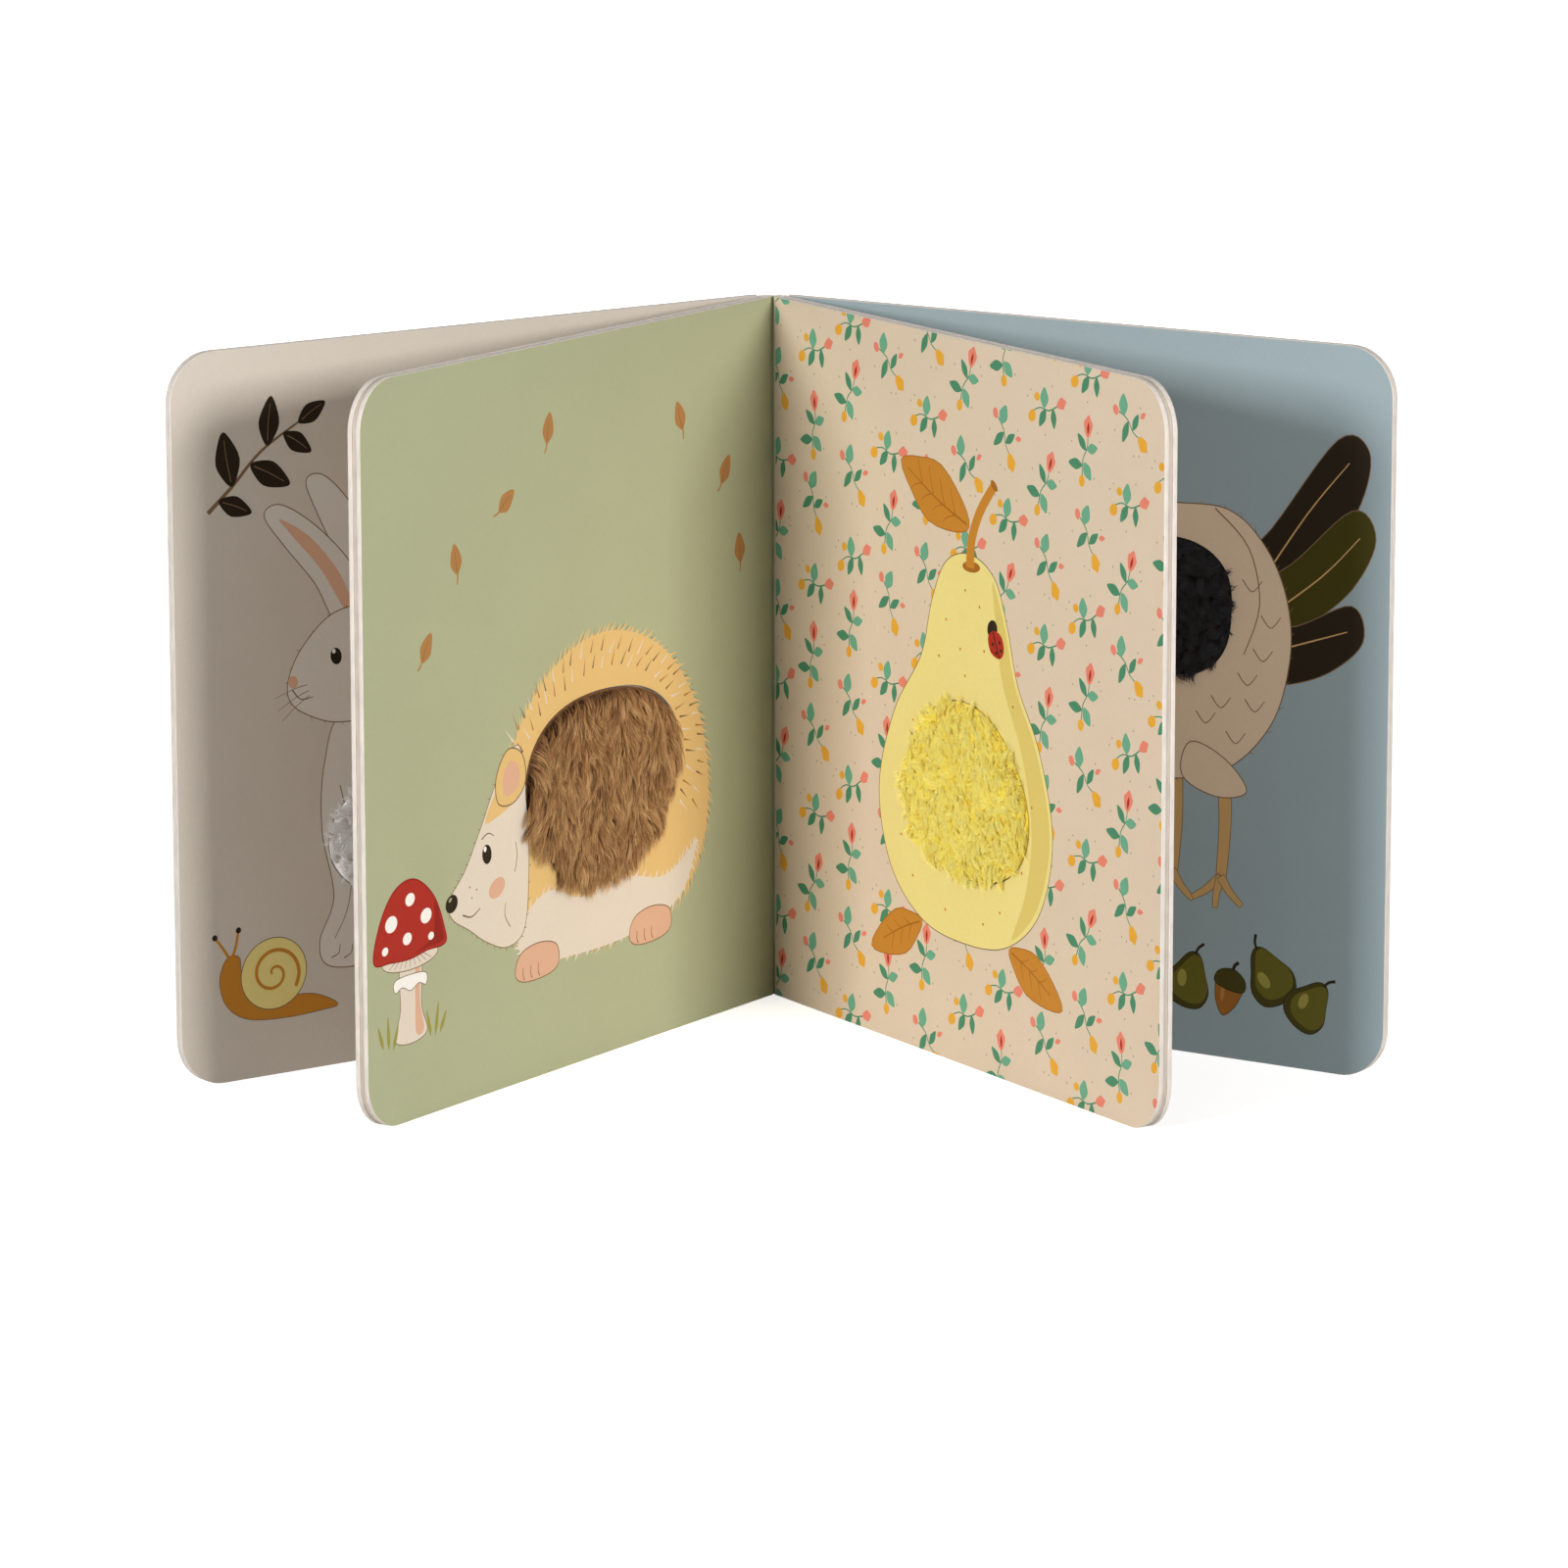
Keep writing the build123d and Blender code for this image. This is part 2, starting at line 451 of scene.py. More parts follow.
def draw_toadstool(page):
    stem = smooth([
        (10.4, 19.6), (12.6, 26), (12.8, 37), (20.2, 37), (20.4, 26), (22.4, 19.8), (16.4, 18),
    ])
    page.inked("cream", stem, width=0.22)
    page.blob("blush", [(18.4, 20.0), (18.2, 28), (18.4, 36), (20.0, 36), (19.9, 27), (21.4, 20.4)])
    skirt = smooth([
        (11.2, 33.4), (10.6, 30.6), (13.4, 31.4), (16.4, 30.2), (19.6, 31.4), (22.2, 30.6), (21.6, 33.4),
    ])
    page.inked("white", skirt, width=0.2)
    page.inked("cream", ellipse(16.4, 37.6, 21, 5.2), width=0.22)
    for across in range(-8, 9, 2):
        page.lines(0.18, 0.12, [(16.4 + across * 0.5, 38.4), (16.4 + across, 35.6 + 0.012 * across**2)])
    cap = smooth([
        (2.8, 39), (5.4, 47.6), (11, 54), (18.4, 55.2), (25.6, 50), (29.6, 41.6), (29.4, 38.6), (23, 38.4),
        (16.4, 37.6), (9, 38),
    ], steps=8)
    page.inked("red", cap, "dark_red", 0.35)
    page.blob("dark_red", [(26, 49.2), (29, 41.6), (28.8, 39.2), (23, 38.9), (18, 38.3), (25.2, 41.2)])
    for x, z, size in (
        (9.4, 46.6, 4.6), (16.6, 51, 3.6), (22.6, 46.2, 4.2), (15.4, 42.2, 3.4), (7.0, 40.8, 2.4),
        (24.4, 41.2, 2.2),
    ):
        page.dot("white", x, z, size, size * 0.82, 12)
    for x, z, turn, length in (
        (6, 18.4, 110, 6), (8, 17.8, 92, 8), (9.6, 17.6, 70, 6), (24, 18, 104, 6.5), (25.6, 17.8, 80, 8),
        (27.4, 18.2, 62, 5.5),
    ):
        page.fill("olive_light", leaf(x, z, length, 1.2, turn, 0.3))


def hedgehog_page():
    """Green page: a hedgehog at a toadstool, under falling leaves."""
    rng = np.random.default_rng(11)
    page = Picture()
    draw_coat(page, rng)
    draw_face(page, rng)
    draw_toadstool(page)
    for x, z, turn in (
        (22, 104, 60), (36, 122, 100), (52, 134, 35), (71, 147, 80), (126, 143, 110), (142, 128, 62),
        (150, 108, 95),
    ):
        page.fill("leaf_brown", leaf(x, z, 7.4, 4.4, turn, 0.4))
        page.lines(0.6, 0.45, moved([(0.6, 0), (-0.8, 0.1), (-2.1, 0.6)], x, z, turn), ink="leaf_brown")
        page.lines(0.28, 0.15, moved([(0.8, 0), (3, 0.15), (5.6, 0)], x, z, turn))
    return page


# The beige page
SPRAYS = (
    (
        ("pattern_green", leaf(-2.6, 0.2, 4.8, 2.3, 118)),
        ("pattern_teal", leaf(-1.8, 0.0, 4.2, 2.7, -112)),
        ("pattern_green", leaf(0.8, 0.5, 4.3, 2.0, 72)),
        ("pattern_teal", leaf(1.2, 0.3, 3.8, 2.2, -50)),
        ("coral", leaf(3.4, 1.3, 4.6, 3.2, 24, 0.6)),
        ("red", leaf(4.0, 1.5, 2.6, 0.8, 24, 0.5)),
        ("mustard", ellipse(-5.4, -1.3, 2.5, 2.1, 20, 10)),
    ),
    (
        ("pattern_teal", leaf(-2.9, -0.2, 4.4, 3.1, 138)),
        ("pattern_green", leaf(-1.0, 0.4, 4.8, 2.1, -66)),
        ("pattern_green", leaf(1.2, 0.5, 4.0, 1.9, 108)),
        ("mustard", leaf(3.4, 1.2, 4.0, 3.0, 8, 0.6)),
        ("coral", ellipse(-5.3, -1.6, 2.3, 1.9, 0, 10)),
        ("coral", leaf(0.9, 4.3, 2.2, 1.2, 80)),
    ),
    (
        ("pattern_green", leaf(-3.0, -0.2, 4.1, 2.0, 100)),
        ("pattern_green", leaf(-0.4, 0.4, 4.4, 2.2, 62)),
        ("pattern_teal", leaf(0.2, 0.3, 4.3, 3.0, -88)),
        ("mustard", ellipse(4.4, 2.6, 2.9, 2.4, 35, 10)),
        ("mustard", ellipse(2.9, -1.6, 2.0, 1.8, 0, 10)),
        ("coral", leaf(-4.3, -1.0, 3.6, 2.5, 205, 0.6)),
    ),
)


def draw_spray(page, x, z, turn, parts):
    """A small spray: its stalk, its leaves and buds, and four specks round it."""
    stalk = stroke([(-4.4, -0.9), (-1.5, 0.5), (1.6, 0.4), (4.2, 1.6)], 0.34, 0.24, steps=3)
    specks = []
    for place in ((5.2, -2.6), (6.3, -1.1), (-0.6, 5.6), (-2.4, -4.6)):
        specks.append(("speck", ellipse(*place, 0.5, 0.5, steps=6)))
    for ink, shape in (("pattern_green", stalk), *parts, *specks):
        page.fill(ink, moved(shape, x, z, turn, 1.12))


def draw_veined_leaf(page, place, body, midrib, width, starts, base, vein, vein_widths):
    """A brown leaf with a midrib, and a vein to either side from each start along it."""
    page.inked("orange_brown", moved(body, *place), "deep_orange", 0.25)
    page.lines(width, 0.25, moved(midrib, *place), ink="deep_orange")
    for start in starts:
        for side in (-1, 1):
            route = [(start, base)] + [(start + along, side * across) for along, across in vein]
            page.lines(*vein_widths, moved(route, *place), ink="deep_orange")


def draw_pear(page):
    pear = smooth([
        (84, 29), (102, 31.5), (115.5, 42), (120.5, 60), (115, 79), (106, 93), (101.5, 106), (96, 116.5),
        (86, 120.5), (76, 117.5), (70, 107.5), (65.5, 94), (54, 79), (47.5, 60), (52.5, 42), (66, 31.5),
    ], steps=8)
    page.inked("pear", pear, width=0.24)
    page.blob("pear_shade", [
        (104, 33.5), (114.6, 43), (119.4, 60), (114, 78.5), (105, 92.5), (100.4, 106), (95.4, 115.5),
        (97, 105), (100, 92), (108, 77), (112, 60), (109.5, 45),
    ])
    page.specks(
        "orange_brown", 0.75, (76, 104), (82, 98), (90, 109), (84, 112), (73, 95), (92, 99), (62, 78),
        (104, 88), (57, 50), (62, 41), (112, 66), (108, 50), (76, 35.5), (92, 35), (84, 92), (99, 39),
    )
    page.dot("deep_orange", 86.5, 117.8, 7.4, 2.6, 4)
    page.lines(3.4, 2.6, [(86, 117.5), (86.6, 124), (90, 131), (95.5, 137.5)], ink="orange_brown")
    page.dot("deep_orange", 95.9, 137.9, 3.4, 1.7, -38)


def draw_ladybird(page):
    page.dot("dark", 95.4, 104.6, 4.6, 4.0, 60)
    page.dot("dark", 97.0, 101.6, 5.6, 4.8, 60)
    page.blob("red", [
        (93.6, 102.6), (94.8, 99.2), (98.4, 98.2), (100.2, 100.2), (99.2, 103.4), (96, 104.4),
    ])
    page.lines(0.4, 0.4, [(95.6, 104.2), (96.8, 101.4), (98.4, 98.4)], ink="dark")
    page.specks("dark", 0.9, (95.6, 101.2), (98.4, 102.0), (97.0, 99.4), (99.0, 100.2))


def pear_page():
    """Beige page: small sprays in a half-drop repeat, and a large pear over them."""
    rng = np.random.default_rng(5)
    page = Picture()
    pitch_x = 16.4
    pitch_z = 18.4
    for column in range(11):
        for row in range(10):
            x = 2.0 + pitch_x * column + 1.5 * (rng.random() - 0.5)
            z = 3.0 + pitch_z * (row + 0.5 * (column % 2)) + 1.5 * (rng.random() - 0.5)
            turn = 55 + 120 * ((column * 2 + row) % 3) + 34 * (rng.random() - 0.5)
            draw_spray(page, x, z, turn, SPRAYS[(column + 2 * row) % 3])
    for x, turn, flip in ((66, 205, -1), (103, -24, 1)):
        fallen = [(px, pz * flip) for px, pz in leaf(0, 0, 24, 10.5, 0, 0.42)]
        midrib = [(1, 0), (9, 0.6 * flip), (18.5, 0.3 * flip)]
        vein = ((1.7, 1.6), (2.7, 3.0))
        draw_veined_leaf(
            page, (x, 31, turn), fallen, midrib, 0.5, (5, 9, 13), 0.3 * flip, vein, (0.3, 0.15)
        )
    draw_pear(page)
    top_leaf = leaf(0, 0, 31, 14.5, 0, 0.5)
    midrib = [(1, 0), (14, 0.9), (28, 0.3)]
    vein = ((2.6, 2.4), (4.0, 4.4))
    draw_veined_leaf(
        page, (85.5, 127, 158), top_leaf, midrib, 0.6, (6, 11, 16, 21), 0.5, vein, (0.34, 0.16)
    )
    draw_ladybird(page)
    return page


# The blue page
def draw_hen(page, rng):
    for ink, feather in (
        ("dark", [(120, 112), (133, 126), (150, 148), (158, 146), (156, 134), (146, 118), (132, 100)]),
        ("olive_dark", [(122, 108), (138, 118), (154, 132), (160, 126), (154, 114), (142, 104), (130, 96)]),
        ("dark", [(124, 100), (140, 104), (154, 110), (157, 102), (148, 94), (136, 90), (126, 90)]),
    ):
        page.inked(ink, smooth(feather), width=0.25)
    page.lines(
        0.45, 0.25, [(128, 110), (142, 130), (153, 143)], [(130, 104), (146, 116), (156, 126)],
        [(132, 97), (144, 101), (153, 104)], ink="hen_leg",
    )
    for x in (108, 121):
        page.inked("hen_leg", stroke([(x, 70), (x + 0.5, 56), (x - 0.5, 42)], 3.6, 2.4), width=0.22)
        for across, down in ((-8, 3.6), (-2, 5.4), (5, 4.2)):
            toe = [(x - 0.5, 43), (x - 0.5 + across * 0.5, 39.5), (x + across, 41 - down)]
            page.inked("hen_leg", stroke(toe, 2.2, 1.1), width=0.2)
    body = smooth([
        (58, 146), (50, 140), (47, 122), (50, 100), (60, 82), (78, 70), (100, 65), (120, 68), (133, 80),
        (138, 96), (137, 110), (131, 122), (121, 129.5), (104, 130), (88, 134), (76, 146), (68, 152),
    ], steps=8)
    page.hairs("outline", grown(body, 0.2), 1.1, 1.2, 3, rng, 0.2)
    page.inked("hen", body, width=0.3)
    for x, z in (
        (129, 84), (124, 76), (114, 71.5), (131, 96), (116, 80), (127, 90), (120, 84), (133, 104),
        (128, 112),
    ):
        page.lines(0.3, 0.2, [(x - 2.6, z + 1.6), (x, z - 1.1), (x + 2.6, z + 1.6)])
    page.lines(0.35, 0.25, [(118, 129.5), (127, 121), (130, 108), (126, 96)])
    page.inked("hen", smooth([(112, 74), (121, 71), (127, 64), (119, 62), (110, 66)]), width=0.28)
    for ink, points in (
        ("red", [(52, 152), (50, 160), (56, 157), (60, 163), (64, 157), (70, 161), (70, 152), (62, 148)]),
        ("hen", [(68, 152), (58, 154), (50, 148), (50, 140), (60, 136), (70, 142)]),
        ("orange_brown", [(50, 148), (41, 144), (50, 141)]),
    ):
        page.inked(ink, smooth(points))
    page.dot("dark", 57, 148, 2.6, 2.8)


def draw_fruit(page, place):
    """A small green pear with a dark side, a light spot and a stalk."""
    body = [
        (0, -0.5), (0.36, -0.4), (0.47, -0.08), (0.3, 0.26), (0.15, 0.52), (0, 0.6), (-0.15, 0.52),
        (-0.3, 0.26), (-0.47, -0.08), (-0.36, -0.4),
    ]
    inner = [(x * 0.84 + 0.05, z * 0.86 + 0.04) for x, z in body]
    page.inked("olive_dark", moved(smooth(body, steps=4), *place), "dark", 0.16)
    page.fill("olive", moved(smooth(inner, steps=4), *place))
    page.fill("olive_light", moved(ellipse(-0.14, 0.02, 0.2, 0.34, 12, 12), *place))
    page.lines(0.6, 0.75, moved([(0, 0.56), (0.03, 0.7), (0.12, 0.82)], *place), ink="dark")


def draw_acorn(page, place):
    nut = [(-3.1, 1.0), (-3.2, -2.2), (-1.9, -5.2), (0, -7.0), (1.9, -5.2), (3.2, -2.2), (3.1, 1.0)]
    cup = [(-4.1, 0.4), (-3.5, 3.0), (0, 4.5), (3.5, 3.0), (4.1, 0.4), (2, -0.5), (-2, -0.5)]
    page.inked("acorn", moved(smooth(nut, steps=4), *place), "dark", 0.16)
    page.fill("leaf_brown", moved(ellipse(-1.3, -2.0, 1.1, 4.0, 8, 12), *place))
    page.inked("olive_dark", moved(smooth(cup, steps=4), *place), "dark", 0.16)
    page.lines(0.8, 0.9, moved([(0, 4.3), (0.2, 5.6), (1.0, 6.6)], *place), ink="dark")


def hen_page():
    """Blue page: a hen seen from the side, over a scatter of fruit."""
    page = Picture()
    draw_hen(page, np.random.default_rng(23))
    for place in (
        (34, 19, 14, 13), (62, 17, -20, 12.5), (90, 19, 18, 13), (112, 17, -16, 12.5), (134, 20.5, 30, 13),
        (144, 15, -38, 12),
    ):
        draw_fruit(page, place)
    for place in ((48, 19, 24), (76, 18.5, -28), (101, 18, 36), (123, 17, -14)):
        draw_acorn(page, place)
    return page


# The grey page
def draw_rabbit(page, rng):
    body = smooth([
        (46, 84), (40, 72), (39, 56), (42, 40), (38, 30), (40, 24), (50, 23), (60, 26), (78, 24), (104, 23),
        (124, 28), (134, 46), (130, 70), (114, 86), (92, 92), (70, 92),
    ], steps=8)
    page.inked("rabbit", body, width=0.26)
    for ear in (
        [(50, 104), (46, 116), (39, 130), (36, 138), (41, 138.5), (49, 130), (56, 117), (58, 105)],
        [(44, 104), (38, 114), (29.5, 124), (24.6, 131), (29, 133), (38.6, 127), (48, 117), (52, 106)],
    ):
        page.inked("rabbit", smooth(ear), width=0.26)
    page.blob("blush", [
        (46, 107), (39.6, 117), (31.6, 126), (28.6, 129.8), (36.6, 125), (44.4, 116), (48, 108),
    ])
    head = smooth([
        (52, 108), (42, 106), (34, 99), (30.4, 92), (31, 87), (36, 83.4), (44, 81), (56, 82), (66, 90),
        (66, 102), (60, 108),
    ], steps=8)
    page.hairs("outline", grown(head, 0.15), 0.9, 1.2, 4, rng, 0.18)
    page.inked("rabbit", head, width=0.26)
    page.dot("dark", 43.4, 96.4, 3.0, 4.0, 12)
    page.dot("white", 42.8, 97.6, 0.9, 1.1)
    page.dot("blush", 31.6, 91.6, 2.6, 3.0, 20)
    page.lines(0.36, 0.2, [(31.4, 89.8), (33.6, 87.4), (37, 87.6)])
    for place in ((35.4, 90.6, 186), (35.8, 89.2, 196), (36, 88, 206)):
        page.lines(0.2, 0.12, moved([(0, 0), (4, 0.3), (9, 1.4)], *place))
    page.lines(0.28, 0.18, [(44, 66), (47, 52), (46, 38), (42, 30)])
    page.lines(0.3, 0.18, [(41, 25.5), (43, 26.4), (43.4, 28.4)], [(44.4, 25), (46.4, 26), (46.8, 28)])


def draw_twig(page):
    page.lines(1.1, 0.5, [(9.5, 133), (16, 138.5), (24, 146), (34.6, 152)])
    for x, z, length, width, turn in (
        (16, 138.5, 13, 6.6, 100), (21, 143.2, 12, 6.0, -28), (25.6, 147, 11.5, 5.6, 84),
        (34, 151.6, 8.5, 4.6, 30), (12.4, 135.6, 9.5, 4.8, -22), (30, 149.6, 9, 4.6, -34),
    ):
        page.fill("dark", leaf(x, z, length, width, turn))
        page.lines(0.26, 0.16, moved([(1.2, 0), (length * 0.5, 0.2), (length * 0.85, 0)], x, z, turn))


def draw_snail(page):
    foot = smooth([
        (12.5, 29), (10.6, 24), (12.4, 18), (18, 14.2), (28, 13.2), (38, 13.6), (42.5, 14.4), (36, 17.6),
        (26, 18.4), (18.6, 20.6), (16.4, 25), (15.8, 29),
    ])
    page.inked("orange_brown", foot, width=0.2)
    for x, z in ((9.4, 34.4), (15.8, 35.4)):
        page.lines(0.8, 0.6, [(13.6, 28.4), (x * 0.5 + 7, 31.4), (x, z)], ink="orange_brown")
        page.dot("dark", x, z, 1.5, 1.5, steps=10)
    shell_x = 25.2
    shell_z = 24.0
    page.inked("pear", ellipse(shell_x, shell_z, 17.6, 16.6, 10, 36), width=0.24)
    spiral = []
    for step in range(23):
        angle = 0.46 * step - 0.6
        reach = 7.2 - 0.31 * step
        spiral.append((shell_x + reach * cos(angle), shell_z + reach * 0.94 * sin(angle)))
    page.lines(0.95, 0.6, spiral, ink="orange_brown")


def rabbit_page():
    """Grey page: a sitting rabbit, a leafy twig and a snail."""
    page = Picture()
    draw_rabbit(page, np.random.default_rng(31))
    draw_twig(page)
    draw_snail(page)
    return page


# Mesh building
class Shell:
    """Points, faces and the material of each face, gathered for one object."""

    def __init__(self):
        self.points = []
        self.faces = []
        self.face_slots = []
        self.slot_names = []

    def slot(self, name):
        if name not in self.slot_names:
            self.slot_names.append(name)
        return self.slot_names.index(name)

    def add(self, points, faces, names):
        """names is one material for all faces, or one for each."""
        start = len(self.points)
        self.points.extend(points)
        for index, face in enumerate(faces):
            self.faces.append([start + corner for corner in face])
            self.face_slots.append(self.slot(names if isinstance(names, str) else names[index]))

    def build(self, name):
        mesh = bpy.data.meshes.new(name)
        mesh.from_pydata([tuple(point) for point in self.points], [], self.faces)
        for slot_name in self.slot_names:
            mesh.materials.append(material_for(slot_name))
        mesh.polygons.foreach_set("material_index", self.face_slots)
        mesh.update()
        weld(mesh)
        return add_object(name, mesh)


def weld(mesh):
    work = bmesh.new()
    work.from_mesh(mesh)
    bmesh.ops.remove_doubles(work, verts=work.verts, dist=2e-6)
    bmesh.ops.dissolve_degenerate(work, dist=1e-7, edges=work.edges)
    work.to_mesh(mesh)
    work.free()


def board_outline(start, inset):
    """A board's outline in out and up, anticlockwise, with two rounded corners."""
    radius = corner_radius - inset
    far = page_width - inset
    corner_steps = 12
    points = [(start, inset)]
    for centre_up, first in ((inset + radius, -90), (page_height - inset - radius, 0)):
        for step in range(corner_steps + 1):
            turn = radians(first + 90 * step / corner_steps)
            points.append((far - radius + radius * cos(turn), centre_up + radius * sin(turn)))
    points.append((start, page_height - inset))
    return points


def window_place(window, turn, share=1.0, grow=0.0):
    """A place in a window, at a share of the way from its middle to its outline.

    The outline is an ellipse pressed towards a square and towards an egg.
    """
    reach = 1 + window.square * np.cos(2 * turn + radians(window.square_turn))
    reach += window.egg * np.cos(3 * turn + radians(window.egg_turn))
    out = window.out + (window.width / 2 + grow) * reach * share * np.cos(turn)
    up = window.up + (window.height / 2 + grow) * reach * share * np.sin(turn)
    return out, up


def window_outline(window, grow=0.0):
    steps = 84
    return [window_place(window, 2 * pi * step / steps, grow=grow) for step in range(steps)]


def tile(outline, shapes, hole, ground):
    """Cuts a face into triangles, each with the ink of the last shape printed over it."""
    printed = [(ground, outline), *shapes]
    if hole:
        printed.append((None, hole))
    corners = []
    rings = []
    for _, points in printed:
        ring = points if area(points) > 0 else points[::-1]
        rings.append(list(range(len(corners), len(corners) + len(ring))))
        corners.extend(Vector(point) for point in ring)
    spots, _, triangles, _, _, owners = delaunay_2d_cdt(corners, [], rings, 1, 1e-4)
    faces = []
    names = []
    for triangle, cover in zip(triangles, owners):
        ink = printed[max(cover)][0] if 0 in cover else None
        if ink:
            faces.append(triangle)
            names.append(ink)
    used = sorted({corner for face in faces for corner in face})
    order = {corner: index for index, corner in enumerate(used)}
    faces = [tuple(order[corner] for corner in face) for face in faces]
    return [(spots[corner].x, spots[corner].y) for corner in used], faces, names


def add_face(shell, board, depth, outline, shapes, hole, ground, towards_reader):
    spots, faces, names = tile(outline, shapes, hole, ground)
    points = [spot(board, out, up, depth) for out, up in spots]
    if (board.side == LEFT) == towards_reader:
        faces = [face[::-1] for face in faces]
    shell.add(points, faces, names)


def band(count):
    """Faces between two rings of as many points, listed one after the other."""
    faces = []
    for index in range(count):
        after = (index + 1) % count
        faces.append((index, after, count + after, count + index))
    return faces


def add_walls(shell, board, rings, name, outward=True):
    """Bands between outlines of as many points, each with its own depth in the board."""
    for (ring, depth), (next_ring, next_depth) in zip(rings, rings[1:]):
        points = [spot(board, out, up, depth) for out, up in ring]
        points += [spot(board, out, up, next_depth) for out, up in next_ring]
        faces = band(len(ring))
        if (board.side == LEFT) == outward:
            faces = [face[::-1] for face in faces]
        shell.add(points, faces, name)


def add_ply(shell, board, near, thickness, start, inset, front, back, edge, picture=None, window=None):
    """One glued layer of board: two faces, worn corners, an edge, and a window's wall."""
    far = near + thickness
    outline = board_outline(start, inset)
    inner = board_outline(start, inset + rim)
    shapes = []
    for ink, points in picture.shapes if picture else ():
        if board.side == LEFT:
            points = [(page_width - x, z) for x, z in points]
        shapes.append((ink, points))
    hole = window_outline(window, rim / 2) if window else None
    add_face(shell, board, near, inner, shapes, hole, front, True)
    add_face(shell, board, far, inner, [], hole, back, False)
    rings = ((inner, near), (outline, near + rim), (outline, far - rim), (inner, far))
    add_walls(shell, board, rings, edge)
    if window:
        wall = window_outline(window)
        rings = ((hole, near), (wall, near + rim), (wall, far - rim), (hole, far))
        add_walls(shell, board, rings, edge, outward=False)


def make_leaf(name, board, front, back, picture, window):
    """A leaf of two printed sheets on either side of a filler board."""
    shell = Shell()
    start = fold_tangent
    middle = sheet_thickness + filler_thickness
    add_ply(shell, board, 0, sheet_thickness, start, 0, front, "board", "board", picture, window)
    add_ply(shell, board, sheet_thickness, filler_thickness, start, filler_inset, *["filler"] * 3)
    add_ply(shell, board, middle, sheet_thickness, start, 0, "board", back, "board")
    piece = shell.build(name)
    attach(piece, "leaves")
    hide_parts("pages")


def make_cover(name, node, board, inside, picture, window):
    """A cover of a printed sheet and the cover sheet glued behind it."""
    shell = Shell()
    start = spine_thickness + hinge_clearance
    add_ply(shell, board, 0, sheet_thickness, start, 0, inside, "board", "board", picture, window)
    add_ply(shell, board, sheet_thickness, cover_sheet_thickness, start, 0, "board", "cover_paper", "board")
    piece = shell.build(name)
    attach(piece, node)
    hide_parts(node)


def add_prism(shell, section, side_names, cap_name):
    """An upright prism over a section in the ground plan, anticlockwise seen from above."""
    foot = [Vector((x, y, 0)) * MM for x, y in section]
    top = [Vector((x, y, page_height)) * MM for x, y in section]
    cap = tuple(range(len(section)))
    shell.add(foot + top, band(len(section)), side_names)
    shell.add(foot, [cap[::-1]], cap_name)
    shell.add(top, [cap], cap_name)


def plan(board, out, depth):
    """A place on a board in the ground plan, in millimetres."""
    place = board.root + board.out * out + board.back * depth
    return (place.x, place.y)


def make_fold():
    """The bent middle of the sheets: a hollow with a sharp groove in front, both leaves' ends behind."""
    shell = Shell()
    start = Vector(plan(left_leaf, fold_tangent, 0))
    end = Vector(plan(right_leaf, fold_tangent, 0))
    middle = (left_leaf.out + right_leaf.out).normalized()
    centre_reach = hypot(fold_tangent, fold_radius)
    centre = Vector((valley.x, valley.y)) + Vector((middle.x, middle.y)) * centre_reach
    first = atan2(start.y - centre.y, start.x - centre.x)
    last = atan2(end.y - centre.y, end.x - centre.x)
    if first < last:
        first += 2 * pi
    groove_depth = (1.1, 0.75, 0.2, 0.0, 0.0, 0.0)    # from the middle of the hollow to its rims
    half = len(groove_depth) - 1
    section = []
    for step in range(2 * half + 1):
        turn = first + (last - first) * step / (2 * half)
        reach = fold_radius + groove_depth[abs(step - half)]
        section.append((centre.x + reach * cos(turn), centre.y + reach * sin(turn)))
    section += [
        plan(right_leaf, fold_tangent, leaf_thickness),
        plan(right_leaf, 0, leaf_thickness),
        plan(left_leaf, 0, leaf_thickness),
        plan(left_leaf, fold_tangent, leaf_thickness),
    ]
    names = ["green_paper"] * 6 + ["beige_paper"] * 4
    names += ["board", "sand_paper", "board", "sand_paper", "board"]
    add_prism(shell, section, names, "board")
    piece = shell.build("page_fold")
    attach(piece, "leaves")
    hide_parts("pages")


def make_hinge(name, crease, board):
    """The cover's paper where it bends round the crease and on over the spine."""
    side = board.side
    clear = 0.03                  # between the paper and the spine
    skin = 0.3                    # the paper's thickness on the back of the spine
    back_of_spine = crease.y + spine_thickness
    end_x = side * 0.06           # the two covers' papers stop this far off the middle
    start_out = spine_thickness + hinge_clearance

    def round_crease(reach, turn):
        """A point at a turn from straight back, towards the cover's side."""
        angle = radians(turn)
        return (crease.x + side * reach * sin(angle), crease.y + reach * cos(angle))

    section = [plan(board, start_out, cover_sheet_thickness + sheet_thickness)]
    for reach, turn in ((2.25, 47), (1.75, 26), (1.45, 8)):
        section.append(round_crease(reach, turn))
    section += [(end_x, back_of_spine + skin), (end_x, back_of_spine + clear)]
    for turn in range(0, 101, 20):
        section.append(round_crease(spine_thickness + clear, turn))
    section.append(plan(board, start_out, rim))
    if area(section) < 0:
        section = section[::-1]
    shell = Shell()
    add_prism(shell, section, "cover_paper", "board")
    piece = shell.build(name)
    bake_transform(piece)


# Pile fabric
Pile = namedtuple("Pile", "count clumps length lift fan curl pull width crown edge splay")
STRAND_STEPS = 4
strand_taper = (1.0, 1.0, 0.85, 0.6, 0.0)    # a strand's width at each point along it
combed_down = -pi / 2
backing_share = 0.985         # the backing's reach as a share of its window's


